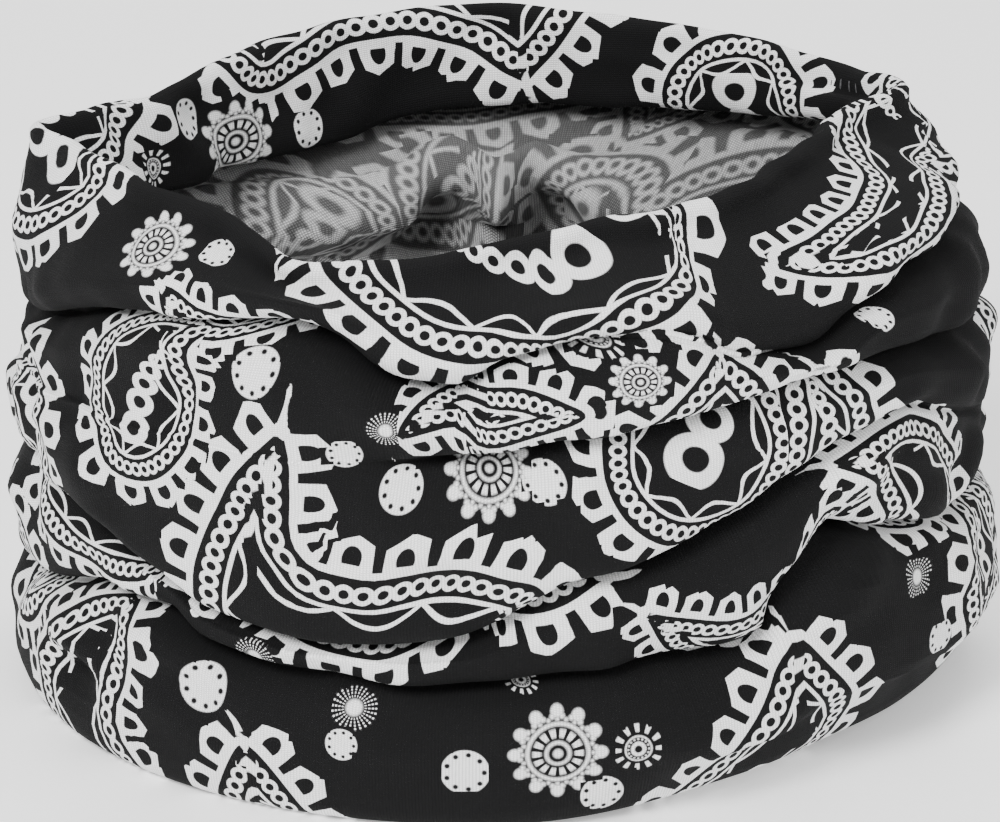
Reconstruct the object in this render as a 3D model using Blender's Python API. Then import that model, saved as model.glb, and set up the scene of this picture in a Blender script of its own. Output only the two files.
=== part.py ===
# A tube of fine jersey knit worn round the neck, pushed down into soft folds.
# Metres, +Z up. It stands on z = 0 with the neck opening on top; -Y is the front.
# The cloth is one sheet whose middle surface is swept round the neck, station by
# station from the hem inside the collar, over the rim, down the folds, and in under the base.

from math import cos, pi, sin

import bmesh
import bpy
from mathutils import Vector

# ---- Driving dimensions ----
collar_width = 0.170  # across the collar's rim, side to side
collar_depth = 0.112  # across the collar's rim, front to back
body_width = 0.186  # across the folds, side to side
body_depth = 0.144  # across the folds, front to back
rim_height = 0.1105  # middle surface at the top of the rim
rim_tilt = 0.0015  # how much higher the right side of the rim stands
collar_point = 1.7  # outline exponent of the rim: under 2 is drawn out to a point at each side
body_point = 2.2  # outline exponent of the folds: 2 is an ellipse

cloth_thickness = 0.0009
layer_gap = 0.0042  # room between two layers that lie on each other

flap_drop = 0.030  # how far the collar turns down inside
hem_turn = 0.009  # how far the flap's end is turned under
base_flat = 0.014  # width of the ring that lies on the ground
base_return = 0.012  # how far the cloth runs on inwards past that ring, to its cut edge
base_round = 0.014  # height of the rounded foot above the ground

# Each fold: the height of its lip, how much it rises to the right and to the front,
# and how deep the cloth tucks in behind the lip.
folds = (
    {"name": "collar fold", "height": 0.0850, "right": 0.002, "front": 0.001, "tuck": 0.014},
    {"name": "upper fold", "height": 0.0670, "right": 0.005, "front": 0.002, "tuck": 0.020},
    {"name": "middle fold", "height": 0.0480, "right": 0.011, "front": -0.002, "tuck": 0.022},
    {"name": "lower fold", "height": 0.0275, "right": 0.004, "front": -0.001, "tuck": 0.018},
)

stitch_reach = 0.0030  # how far the edge stitching reaches over the cloth
stitch_wall = 0.0005  # thickness of the layer of thread
stitch_clearance = 0.00035  # thread to cloth, and thread to the ground

label_width = 0.020
label_length = 0.010
label_thickness = 0.0004
label_clearance = 0.00035  # label to cloth, and thread to label
label_stitch_width = 0.0006  # thread bars that hold the label
label_stitch_inset = 0.0016  # bar to the label's end

columns = 44  # round the neck
rows_per_station = 1


def outline(angle, half_width, half_depth, exponent):
    """Point of a rounded outline; angle 0 is the front, a quarter turn is the right side."""
    x, y = sin(angle), -cos(angle)
    size = (abs(x) ** exponent + abs(y) ** exponent) ** (-1 / exponent)
    return half_width * x * size, half_depth * y * size


def stations(angle):
    """(share of body outline, inward offset, height) along the cloth, from hem to base edge."""
    rim = rim_height + rim_tilt * sin(angle)
    hem = rim - flap_drop
    path = [
        (0.0, 1.25 * layer_gap, hem + hem_turn),
        (0.0, 1.25 * layer_gap, hem + 0.45 * hem_turn),
        (0.0, 1.60 * layer_gap, hem),
        (0.0, 2.05 * layer_gap, hem + 0.45 * hem_turn),
        (0.0, 1.70 * layer_gap, 0.5 * (hem + rim)),
        (0.0, 1.20 * layer_gap, rim - layer_gap),
        (0.0, 0.50 * layer_gap, rim),
        (0.0, 0.00, rim - layer_gap),
    ]
    for number, fold in enumerate(folds):
        above = number / len(folds)
        below = (number + 1) / len(folds)
        lip = fold["height"] + fold["right"] * sin(angle) + fold["front"] * cos(angle)
        path += [
            (above, 0.0, lip + 0.55 * layer_gap),
            (above, 0.35 * layer_gap, lip - 0.35 * layer_gap),
            (0.5 * (above + below), fold["tuck"], lip - 0.10 * layer_gap),
            (0.5 * (above + below), fold["tuck"], lip - 1.15 * layer_gap),
            (below, 0.25 * layer_gap, lip - 1.45 * layer_gap),
        ]
    ground = 0.5 * cloth_thickness
    lifted = ground + stitch_wall + 2 * stitch_clearance
    ring = 0.55 * base_round
    path += [
        (1.0, 0.0, base_round),
        (1.0, 0.22 * base_round, 0.28 * base_round),
        (1.0, ring, ground),
        (1.0, ring + base_flat / 3, ground),
        (1.0, ring + 2 * base_flat / 3, ground),
        (1.0, ring + base_flat, ground),
        (1.0, ring + base_flat + base_return - 1.5 * stitch_reach, lifted),
        (1.0, ring + base_flat + base_return, lifted),
    ]
    return path


def place(angle, station):
    """World position of one station of the cloth."""
    share, offset, height = station
    half_width = 0.5 * (collar_width + share * (body_width - collar_width)) - offset
    half_depth = 0.5 * (collar_depth + share * (body_depth - collar_depth)) - offset
    exponent = collar_point + share * (body_point - collar_point)
    x, y = outline(angle, half_width, half_depth, exponent)
    return Vector((x, y, height))


def smooth_path(points):
    """Rows of the cloth on one column: a smooth curve through its stations."""
    rows = []
    for i in range(len(points) - 1):
        before = points[max(i - 1, 0)]
        start, end = points[i], points[i + 1]
        after = points[min(i + 2, len(points) - 1)]
        level = abs(start.z - end.z) < 1e-6
        for step in range(rows_per_station):
            t = step / rows_per_station
            if level:
                rows.append(start.lerp(end, t))
                continue
            leave = 0.5 * (end - before)
            arrive = 0.5 * (after - start)
            rows.append(
                start * (2 * t**3 - 3 * t**2 + 1)
                + leave * (t**3 - 2 * t**2 + t)
                + end * (3 * t**2 - 2 * t**3)
                + arrive * (t**3 - t**2)
            )
    rows.append(points[-1])
    return rows


def cloth_columns():
    """Middle surface of the cloth as columns of points, front first, turning to the right."""
    grid = []
    for i in range(columns):
        angle = 2 * pi * i / columns
        grid.append(smooth_path([place(angle, station) for station in stations(angle)]))
    return grid


def make_material(name, colour, roughness):
    material = bpy.data.materials.new(name)
    material.use_nodes = True
    shader = material.node_tree.nodes["Principled BSDF"]
    shader.inputs["Base Color"].default_value = (*colour, 1.0)
    shader.inputs["Roughness"].default_value = roughness
    shader.inputs["Metallic"].default_value = 0.0
    return material


def make_object(name, mesh, material):
    mesh.shade_smooth()
    mesh.materials.append(material)
    thing = bpy.data.objects.new(name, mesh)
    bpy.context.scene.collection.objects.link(thing)
    return thing


def ring_mesh(name, rings, closed_section):
    """Quads between neighbouring rings of points, closed round the neck."""
    shape = bmesh.new()
    loops = [[shape.verts.new(point) for point in ring] for ring in rings]
    count = len(rings[0])
    for i, here in enumerate(loops):
        after = loops[(i + 1) % len(loops)]
        for j in range(count if closed_section else count - 1):
            k = (j + 1) % count
            shape.faces.new((here[j], here[k], after[k], after[j]))
    bmesh.ops.recalc_face_normals(shape, faces=shape.faces)
    mesh = bpy.data.meshes.new(name)
    shape.to_mesh(mesh)
    shape.free()
    return mesh


def make_tube(grid):
    """The knitted tube: the middle surface given the cloth's thickness."""
    mesh = ring_mesh("knit_tube", grid, closed_section=False)
    material = make_material("printed microfibre jersey", (0.035, 0.034, 0.036), 0.85)
    tube = make_object("knit_tube", mesh, material)
    wall = tube.modifiers.new("cloth thickness", "SOLIDIFY")
    wall.thickness = cloth_thickness
    wall.offset = 0.0
    wall.use_even_offset = True
    return tube


def make_edge_stitching(name, grid, end, inner):
    """Overlock thread that wraps the cloth's edge: a ring with a U section."""
    near = 0.5 * cloth_thickness + stitch_clearance
    far = near + stitch_wall
    section = (
        (stitch_reach, near),
        (stitch_reach, far),
        (-stitch_clearance - stitch_wall, far),
        (-stitch_clearance - stitch_wall, -far),
        (stitch_reach, -far),
        (stitch_reach, -near),
        (-stitch_clearance, -near),
        (-stitch_clearance, near),
    )
    rings = []
    for i, column in enumerate(grid):
        edge, inside = column[end], column[inner]
        along = (inside - edge).normalized()
        before, after = grid[i - 1][end], grid[(i + 1) % columns][end]
        across = along.cross((after - before).normalized()).normalized()
        rings.append([edge + along * u + across * v for u, v in section])
    material = make_material(f"{name} thread", (0.025, 0.025, 0.027), 0.7)
    return make_object(name, ring_mesh(name, rings, closed_section=True), material)


def make_plate(name, centre, size, material):
    """A flat rectangle of cloth or thread with softened corners."""
    mesh = bpy.data.meshes.new(name)
    shape = bmesh.new()
    bmesh.ops.create_cube(shape, size=1.0)
    bmesh.ops.scale(shape, vec=size, verts=shape.verts)
    upright = [e for e in shape.edges if abs(e.verts[0].co.z - e.verts[1].co.z) > 0.5 * size.z]
    bmesh.ops.bevel(shape, geom=upright, offset=0.2 * min(size.x, size.y), segments=2,
                    profile=0.5, affect="EDGES")
    bmesh.ops.translate(shape, vec=centre, verts=shape.verts)
    shape.to_mesh(mesh)
    shape.free()
    return make_object(name, mesh, material)


def make_label():
    """A blank care label on the wrong side of the cloth, inside the base at the back."""
    ring_middle = 0.5 * body_depth - 0.55 * base_round - 0.5 * base_flat
    floor = cloth_thickness + label_clearance
    centre = Vector((0.0, ring_middle, floor + 0.5 * label_thickness))
    size = Vector((label_width, label_length, label_thickness))
    satin = make_material("woven satin label", (0.78, 0.77, 0.74), 0.45)
    make_plate("care_label", centre, size, satin)

    thread = make_material("label thread", (0.7, 0.7, 0.68), 0.6)
    bar = Vector((label_stitch_width, 0.8 * label_length, label_stitch_width))
    top = floor + label_thickness + label_clearance + 0.5 * label_stitch_width
    for side, end in ((-1, "left"), (1, "right")):
        x = side * (0.5 * label_width - label_stitch_inset)
        make_plate(f"label_stitching_{end}", Vector((x, ring_middle, top)), bar, thread)


def main():
    for thing in list(bpy.data.objects):
        bpy.data.objects.remove(thing)
    grid = cloth_columns()
    make_tube(grid)
    make_edge_stitching("upper_edge_stitching", grid, end=0, inner=1)
    make_edge_stitching("lower_edge_stitching", grid, end=-1, inner=-2)
    make_label()


main()
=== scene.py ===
from math import cos, pi, radians, sin

import bpy
import numpy as np
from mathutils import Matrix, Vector


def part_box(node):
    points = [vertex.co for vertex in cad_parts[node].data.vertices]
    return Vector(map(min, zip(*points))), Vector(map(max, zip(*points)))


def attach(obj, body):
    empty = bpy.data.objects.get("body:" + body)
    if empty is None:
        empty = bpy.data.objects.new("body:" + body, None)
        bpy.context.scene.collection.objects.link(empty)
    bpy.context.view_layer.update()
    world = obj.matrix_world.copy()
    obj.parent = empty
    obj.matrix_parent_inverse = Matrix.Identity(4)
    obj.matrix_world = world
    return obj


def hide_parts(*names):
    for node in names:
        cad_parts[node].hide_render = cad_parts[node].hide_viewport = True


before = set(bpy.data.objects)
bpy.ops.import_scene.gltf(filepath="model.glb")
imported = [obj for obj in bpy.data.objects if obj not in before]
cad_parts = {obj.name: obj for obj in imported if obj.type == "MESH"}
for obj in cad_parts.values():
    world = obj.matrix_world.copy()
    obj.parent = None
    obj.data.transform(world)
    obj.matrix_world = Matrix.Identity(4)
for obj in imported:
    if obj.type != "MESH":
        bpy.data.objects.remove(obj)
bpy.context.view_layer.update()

mm = 0.001


def keyed(keys, azimuth):  # a smooth closed curve through the values at the key angles
    angles = sorted(keys)
    values = [keys[a] for a in angles]
    x = np.array([*(a - 360 for a in angles[-2:]), *angles, *(a + 360 for a in angles[:2])], float)
    y = np.array([*values[-2:], *values, *values[:2]], float)
    step = np.diff(x)
    slope = np.diff(y) / step
    tangent = np.zeros(len(x))
    same = slope[:-1] * slope[1:] > 0
    tangent[1:-1][same] = (2 * slope[:-1] * slope[1:] / (slope[:-1] + slope[1:] + 1e-12))[same]
    i = np.clip(np.searchsorted(x, azimuth, side="right") - 1, 0, len(x) - 2)
    t = (azimuth - x[i]) / step[i]
    return (
        y[i] * (2 * t**3 - 3 * t**2 + 1) + tangent[i] * step[i] * (t**3 - 2 * t**2 + t)
        + y[i + 1] * (3 * t**2 - 2 * t**3) + tangent[i + 1] * step[i] * (t**3 - t**2)
    )


# azimuth in degrees: 0 is the front, 90 the right side, 180 the back; lengths in millimetres
cloth = {
    "thickness": 0.75,
    "columns": 280,
    "round": 480.0,
    "body": (92.5, 71.5),
    "collar": (87.0, 59.0),
    "rimPlan": {0: .89, 20: .83, 38: .795, 58: .735, 75: .725, 88: .75, 96: .82, 104: .905, 122: .905,
                151: .90, 166: .935, 182: .99, 200: .935, 218: .85, 245: .81, 262: .90, 270: 1.0,
                280: .96, 291: .90, 313: .89, 325: .93, 337: .975, 350: .94},
    "rimHeight": {0: 109.5, 10: 111, 38: 113, 60: 113.5, 104: 113.5, 122: 110, 151: 110.7, 182: 110.8,
                  218: 110.7, 245: 109, 270: 110.5, 291: 110.5, 313: 110, 325: 108.5, 337: 106,
                  350: 107},
    "flapEdge": {0: 88, 60: 98, 90: 101.5, 109: 101.6, 122: 99.9, 137: 96.6, 156: 94.5, 177: 91.9,
                 188: 91.3, 206: 88.2, 237: 89.7, 250: 90, 270: 90, 320: 86},
    "base": {0: 6, 30: 17, 50: 23, 70: 22, 90: 18, 130: 9, 180: 8, 240: 8, 290: 6, 330: 5},
}

foldList = [
    {   # lower edge of the collar
        "lip": {0: 93.5, 5: 95.8, 11: 98, 17: 99.2, 22: 98, 29: 91.8, 39: 89.8, 47: 93.2, 58: 97.5,
                75: 97, 90: 95.5, 135: 91, 180: 88, 225: 84, 258: 78, 273: 76.5, 285: 81, 304: 91.0,
                322: 96.5, 333: 98.0, 340: 96.0, 349: 88.8, 354: 88.2},
        "tuck": {0: 10, 11: 7, 19: 3, 26: 1, 33: 4, 39: 9, 47: 11, 58: 10, 75: 8, 90: 9, 135: 8, 180: 9,
                 225: 8, 273: 8, 304: 8, 320: 8, 333: 11, 340: 14, 349: 14, 354: 13},
        "above": {0: 4, 30: 3, 60: 5, 90: 8, 180: 6, 270: 2, 320: 3, 340: 4},
    },
    {   # from the middle round the right side
        "lip": {0: 76.2, 8: 79.0, 18: 81.0, 31: 84.0, 38: 85.4, 50: 84.5, 62: 82, 75: 79, 90: 76.6,
                130: 74, 180: 70, 220: 67, 250: 62, 285: 68, 320: 73, 335: 74, 349: 74.0},
        "tuck": {0: 8, 8: 9, 18: 9, 31: 8, 38: 7, 50: 8, 70: 8, 90: 9, 130: 12, 180: 15, 220: 11,
                 245: 5, 262: 1.0, 300: 0.4, 342: 0.5, 349: 3},
        "above": {0: 0, 30: 0, 60: 1, 90: 2, 180: 2, 270: 3, 330: 0},
    },
    {   # the long hanging fold across the front
        "lip": {0: 42.8, 4: 47.3, 8: 50.6, 15: 52.8, 22: 56.5, 29: 60.4, 36: 65.8, 45: 71.0, 54: 73.5,
                64: 68, 80: 60, 100: 57, 130: 54, 180: 50, 225: 47, 258: 49, 285: 51, 302: 50,
                314: 45.3, 324: 39.2, 335: 37.2, 345: 36.7, 354: 39.1},
        "tuck": {0: 12, 8: 10, 15: 11, 22: 15, 36: 16, 45: 13, 54: 8, 62: 3, 75: 2, 95: 4, 130: 10,
                 180: 12, 225: 10, 260: 5, 285: 7, 302: 11, 314: 13, 329: 12, 345: 11},
        "above": {0: 0, 30: 1.5, 60: 0, 90: 0, 180: 1, 270: 0, 330: -1},
    },
    {   # the low fold
        "lip": {0: 30.3, 10: 31.7, 26: 32.0, 33: 34, 38: 46, 43: 52.0, 55: 47.5, 70: 44, 85: 43,
                130: 34, 180: 30, 225: 27, 272: 25, 290: 29, 308: 36.0, 317: 36.0, 324: 32, 332: 29.8,
                350: 29.3},
        "tuck": {0: 7, 10: 6, 18: 7, 30: 9, 36: 12, 42: 14, 55: 9, 70: 8, 85: 9, 130: 10, 180: 11,
                 225: 9, 272: 8, 290: 8, 308: 10, 324: 8, 332: 5, 343: 5},
        "above": {0: 1, 30: 1, 60: 1, 90: 1, 180: 1, 270: 0, 300: 2, 330: 1},
    },
]
# the slack fold behind the neck: how much of it there is, how far it comes in, and how high its crest is
drape = {
    "share": {0: 0, 100: 0, 122: 0.35, 145: 0.9, 170: 1, 205: 1, 225: 0.7, 245: 0.15, 262: 0},
    "depth": {0: 30, 120: 30, 140: 34, 160: 39, 173: 36, 181: 48, 189: 36, 201: 41, 215: 38, 230: 32,
              260: 30},
    "crest": {0: 86, 130: 79, 150: 83, 168: 86.5, 182: 90.5, 198: 86.5, 225: 81, 250: 79},
}
baseBelly = {0: -1.5, 30: -0.5, 60: -1, 90: -2, 180: 0, 270: -0.5, 300: -1.5, 330: -1.8}


def smoothStep(x):
    x = np.clip(x, 0, 1)
    return x * x * (3 - 2 * x)


def clothStations(azimuth):
    # rows before each station, and its points, from the hem over the rim to the base
    s, c = np.sin(np.radians(azimuth)), np.cos(np.radians(azimuth))
    bodyA, bodyB = cloth["body"]
    rim = keyed(cloth["rimPlan"], azimuth)
    rimX, rimY = cloth["collar"][0] * rim * s, -cloth["collar"][1] * rim * c
    rimZ = keyed(cloth["rimHeight"], azimuth)
    flap = keyed(cloth["flapEdge"], azimuth)
    stations = []

    def station(samples, x, y, z):
        stations.append((samples, np.stack([x, y, z + 0 * azimuth], 1)))

    def body(samples, inset, z):
        station(samples, (bodyA - inset) * s, -(bodyB - inset) * c, z)

    def collar(samples, inset, z):
        shrink = 1 - inset / np.hypot(rimX, rimY)
        station(samples, rimX * shrink, rimY * shrink, z)

    collar(0, 3.6, flap + 8)
    collar(2, 4.2, flap + 2.5)
    collar(2, 5.6, flap + 0.2)
    collar(2, 7.2, flap + 1.8)
    collar(3, 6.4, flap + 0.5 * (rimZ - flap))
    collar(4, 4.6, rimZ - 4.5)
    collar(3, 3.4, rimZ - 1.2)
    collar(2, 1.9, rimZ + 0.1)
    collar(2, 0.5, rimZ - 1.0)
    collar(2, 0.0, rimZ - 3.6)
    # the collar leans out from its rim to its lower edge
    fold = foldList[0]
    lip = keyed(fold["lip"], azimuth)
    above = keyed(fold["above"], azimuth)
    faceX = 0.5 * rimX + 0.5 * (bodyA - above) * s
    faceY = 0.5 * rimY - 0.5 * (bodyB - above) * c
    fuller = 1.02
    station(4, faceX * fuller, faceY * fuller, 0.5 * (rimZ - 3.6) + 0.5 * (lip + 3))
    for number, fold in enumerate(foldList):
        lip = keyed(fold["lip"], azimuth)
        tuck = keyed(fold["tuck"], azimuth)
        above = keyed(fold["above"], azimuth)
        lowest = number == len(foldList) - 1
        below = keyed(baseBelly if lowest else foldList[number + 1]["above"], azimuth)
        lower = 2 + 0 * azimuth if lowest else keyed(foldList[number + 1]["lip"], azimuth)
        room = np.clip((lip - lower) / 16, 0.35, 1)
        if number:
            roomAbove = np.clip((keyed(foldList[number - 1]["lip"], azimuth) - lip) / 16, 0.35, 1)
        else:
            roomAbove = 1 + 0 * azimuth
        e = smoothStep(tuck / 5)
        middle = 0.5 * (above + below)
        body(4, above + 0.2, lip + 5.0 * roomAbove)
        body(3, above + 0.8 * e, lip + 1.6 * roomAbove)
        body(3, above + 2.8 * e, lip - 0.5 * room)
        pleat = [
            (2, middle + 0.55 * tuck + 1.2 * e, lip - (0.9 - 1.2 * e) * room),
            (2, middle + tuck, lip - (1.4 - 1.0 * e) * room),
            (2, middle + tuck + 0.6 * e, lip - 2.2 * room),
            (2, middle + 0.62 * tuck, lip - 3.3 * room),
        ]
        if number == 0:  # behind the neck the pleat swells into a slack fold that the opening shows
            slack = keyed(drape["share"], azimuth)
            deep = keyed(drape["depth"], azimuth)
            crest = keyed(drape["crest"], azimuth)
            pleat[2:3] = [(2, middle + tuck + 0.3 * e, lip - 1.4 * room), pleat[2],
                          (1, middle + 0.85 * tuck, lip - 2.8 * room)]
            loose = [(1, 18 + 0 * deep, lip - 1.5), (1, deep - 14, lip - 4.0), (1, deep - 9.5, crest),
                     (2, deep, crest - 10), (2, deep - 4, lip - 27), (2, 0.45 * deep, lip - 12)]
            for (rows, inset, z), (extra, looseInset, looseZ) in zip(pleat, loose):
                inset = (1 - slack) * inset + slack * looseInset
                body(rows + extra, inset, (1 - slack) * z + slack * looseZ)
        else:
            for rows, inset, z in pleat:
                body(rows, inset, z)
        body(4, below + 0.10 * tuck + 1.6 * e, lip - 5.6 * room)
        body(4, below + 0.2 * e, lip - 5.6 * room - 0.38 * np.clip(lip - lower - 10 * room, 2, 60))
        body(4, below + 0 * e, np.minimum(lip - 5.6 * room - 1, lower + 0.30 * (lip - lower) + 2))
    foot = keyed(cloth["base"], azimuth)
    low = keyed(baseBelly, azimuth)
    half = 0.5 * cloth["thickness"]
    body(3, low + 0.10 * foot, 0.72 * foot)
    body(4, low + 0.38 * foot, 0.22 * foot)
    body(3, low + 0.85 * foot, half + 0 * azimuth)
    body(2, low + 0.85 * foot + 9, half + 0 * azimuth)
    body(1, low + 0.85 * foot + 14, half + 0.3 + 0 * azimuth)
    body(2, low + 0.85 * foot + 19, half + 1.2 + 0 * azimuth)
    return stations


def smoothRows(stations):
    points = np.stack([p for _, p in stations])  # station, column, xyz
    counts = [n for n, _ in stations][1:]
    rows = []
    marks = [0]
    for i, n in enumerate(counts):
        before, start = points[max(i - 1, 0)], points[i]
        end, after = points[i + 1], points[min(i + 2, len(points) - 1)]

        def gap(a, b):
            return np.maximum(np.linalg.norm(b - a, axis=1, keepdims=True), 1e-6) ** 0.5

        g0, g1, g2 = gap(before, start), gap(start, end), gap(end, after)
        if i == 0:
            leave = end - start
        else:
            leave = g1 * ((start - before) / g0 - (end - before) / (g0 + g1) + (end - start) / g1)
        if i + 2 >= len(points):
            arrive = end - start
        else:
            arrive = g1 * ((end - start) / g1 - (after - start) / (g1 + g2) + (after - end) / g2)
        for k in range(n):
            t = k / n
            rows.append(
                start * (2 * t**3 - 3 * t**2 + 1) + leave * (t**3 - 2 * t**2 + t)
                + end * (3 * t**2 - 2 * t**3) + arrive * (t**3 - t**2)
            )
        marks.append(len(rows))
    rows.append(points[-1])
    return np.stack(rows), marks


azimuths = np.arange(cloth["columns"]) * 360 / cloth["columns"]
grid, marks = smoothRows(clothStations(azimuths))
print("cloth rows", grid.shape, "marks", marks)


def lengthDown():  # millimetres of cloth from the hem down to each row
    steps = np.linalg.norm(np.diff(grid, axis=0), axis=2)
    return np.concatenate([np.zeros((1, grid.shape[1])), np.cumsum(steps, 0)])


arcAlong = lengthDown()
bandStart = [marks[8], marks[16], marks[27], marks[37], marks[47], len(grid) - 1]


def levelLine(azimuth, height, band, reach):
    # the columns either side of azimuth, with the row where each one passes the height
    count = cloth["columns"]
    slip = 6.0  # the most rows the line may move by from one column to the next
    middle = int(round(azimuth / 360 * count)) % count
    first, last = (marks[3], marks[7]) if band < 0 else (bandStart[band], bandStart[band + 1])

    def crossing(column, near):
        z = grid[first:last + 1, column, 2]
        found = np.nonzero((z[:-1] - height) * (z[1:] - height) <= 0)[0]
        if not len(found):
            return first + int(np.argmin(abs(z - height))) if near is None else near
        rows = first + found + (z[found] - height) / (z[found] - z[found + 1] + 1e-9)
        return float(rows[0] if near is None else rows[np.argmin(abs(rows - near))])

    def spot(column, row):
        low = min(int(row), len(grid) - 2)
        return grid[low, column] * (1 - row + low) + grid[low + 1, column] * (row - low)

    start = crossing(middle, None)
    line = [(middle, 0.0, start)]
    for way in (1, -1):
        column, row, distance, here = middle, start, 0.0, spot(middle, start)
        while distance < reach:
            column = (column + way) % count
            row += max(-slip, min(slip, crossing(column, row) - row))
            there = spot(column, row)
            distance += float(np.linalg.norm(there - here))
            here = there
            line.append((column, way * distance, row))
    line.sort(key=lambda entry: entry[1])
    columns, distances, rows = (np.array(v) for v in zip(*line))
    return columns.astype(int), distances, rows


def flatPlace(motif, reach):
    # flat coordinates of the cloth round a motif in millimetres, turned with the motif
    azimuth, height, band = motif["at"]
    dx, dy = motif.get("shift", (0, 0))
    columns, distances, rows = levelLine(azimuth, height, band, reach + abs(dx))
    low = np.minimum(rows.astype(int), len(grid) - 2)
    part = rows - low
    zero = arcAlong[low, columns] * (1 - part) + arcAlong[low + 1, columns] * part
    x = distances[None, :] - dx + 0 * arcAlong[:, columns]
    y = zero[None, :] - arcAlong[:, columns] - dy
    turn = radians(motif.get("turn", 0))
    return columns, x * cos(turn) + y * sin(turn), -x * sin(turn) + y * cos(turn)


# Creases: azimuth and height, degrees from upright anticlockwise, length, width and how far out.
# Minus is a groove.
creases = [
    # under the collar on the left
    ((319, 92), -70, 36, 4, 2.8), ((325, 86), -60, 26, 4, -2.6), ((320, 78), -20, 18, 4, -1.6),
    ((302, 75), -30, 24, 5, -1.6), ((305, 60), 65, 16, 5, 2.0), ((335, 94), 65, 22, 6, -3.0),
    # the middle
    ((340, 73), -30, 18, 5, -1.6), ((354, 71), 90, 38, 8, -3.2), ((338, 70), -15, 26, 5, 1.6),
    ((2, 54), 60, 44, 7, 1.3), ((355, 48), -85, 30, 6, -1.3), ((15, 93), -75, 32, 6, 1.2),
    ((22, 29), 90, 22, 7, -3.6),
    # the right, where the long fold is pinched
    ((40, 44), -50, 36, 5, -4.6), ((49, 66), -75, 24, 6, 2.5), ((60, 54), 30, 44, 6, 2.0),
    ((55, 51), 25, 38, 5, -2.2), ((71, 72), 0, 20, 6, 1.6), ((70, 26), 35, 26, 7, 1.6),
    # rolls low on the left
    ((315, 30), 80, 22, 4, 2.0), ((300, 22), 85, 27, 4, 2.6), ((304, 28), -80, 30, 4, -2.2),
    ((301, 17), -75, 17, 5, -3.0), ((286, 56), -15, 30, 5, -2.0), ((280, 76), 20, 18, 5, -1.8),
    # the base and the collar
    ((312, 6), 15, 18, 9, 1.2), ((355, 16), 25, 20, 14, 0.8), ((21, 17), -20, 26, 10, 1.4),
    ((334, 102), 60, 32, 8, 1.3), ((25, 104), -80, 36, 10, 1.2), ((78, 104), -85, 44, 5, 2.0),
    ((86, 102), 85, 32, 5, -1.6), ((280, 107), 80, 24, 6, -1.2),
]
for step in range(9):  # the same sort of folds go on round the back
    creases += [((100 + 19 * step, 66 - 3 * (step % 3)), 60 + 15 * (step % 3), 34, 5, 1.8 - step % 2 * 3.4),
                ((108 + 18 * step, 24 + 4 * (step % 2)), 75 - 25 * (step % 3), 28, 6, 1.8 - step % 2 * 3.2),
                ((96 + 20 * step, 99), -80 + 20 * (step % 3), 30, 7, 1.3)]
creaseStrength = 1.3
ripples = {"seed": 5, "count": 70, "height": 0.085, "round": (2, 34), "tall": (11, 45)}
calmFoot = 16  # below this height the creases fade


def clothNormal(rows):
    sideways = np.roll(rows, -1, axis=1) - np.roll(rows, 1, axis=1)
    normal = np.cross(np.gradient(rows, axis=0), sideways)
    return normal / np.maximum(np.linalg.norm(normal, axis=2, keepdims=True), 1e-9)


drapeInset = (12, 34)  # the slack fold's own creases grow between these depths behind the body
drapeCreases = [  # seen through the opening; minus comes towards the front
    ((181, 74), 0, 40, 7, -3), ((170, 70), -6, 40, 5, 5), ((193, 70), 6, 40, 5, 5),
    ((204, 80), 68, 56, 4.5, -7), ((204, 71), 70, 50, 5, 7), ((157, 80), -68, 56, 4.5, -7),
    ((157, 71), -70, 50, 5, 7), ((214, 66), 30, 30, 4, -4), ((148, 66), -35, 30, 4, -4),
]


def turnFrom(where, azimuth):  # radians from a place round the neck, the short way
    return (azimuth - radians(where) + pi) % (2 * pi) - pi


def creaseBell(across, up, turn, length, width):
    tilt = radians(turn)
    x = across * cos(tilt) + up * sin(tilt)
    y = up * cos(tilt) - across * sin(tilt)
    return np.exp(-((x / width) ** 2)) * np.clip(1 - (y / (0.6 * length)) ** 2, 0, 1) ** 1.5


def creased(rows):
    # every layer at one place moves in or out together, so the folds keep clear of one another
    azimuth = 2 * pi * np.arange(rows.shape[1])[None, :] / rows.shape[1]
    heights = rows[:, :, 2]
    reach = np.hypot(rows[:, :, 0], rows[:, :, 1])
    field = np.zeros(heights.shape)
    for (where, up), turn, length, width, depth in creases:
        column = int(round(where / 360 * rows.shape[1])) % rows.shape[1]
        across = turnFrom(where, azimuth) * reach[:, column].max()
        field += creaseStrength * depth * creaseBell(across, heights - up, turn, length, width)
    start, full = drapeInset
    inner = smoothStep((reach.max(0)[None, :] - reach - start) / (full - start))
    for (where, up), turn, length, width, depth in drapeCreases:
        across = turnFrom(where, azimuth) * reach
        field += depth * inner * creaseBell(across, heights - up, turn, length, width)
    chance = np.random.default_rng(ripples["seed"])
    for _ in range(ripples["count"]):
        turns = chance.integers(*ripples["round"])
        wave = chance.uniform(*ripples["tall"]) * chance.choice([-1, 1])
        start = chance.uniform(0, 2 * pi)
        field += ripples["height"] * np.sin(turns * azimuth + 2 * pi * heights / wave + start)
    field *= np.clip(heights / calmFoot, 0, 1) ** 2
    moved = rows.copy()
    moved[:, :, :2] *= (1 + field / reach)[:, :, None]
    return moved


surface = creased(grid)  # the print is laid out on the smooth cloth
print("cloth creased:", len(creases), "creases")


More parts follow.
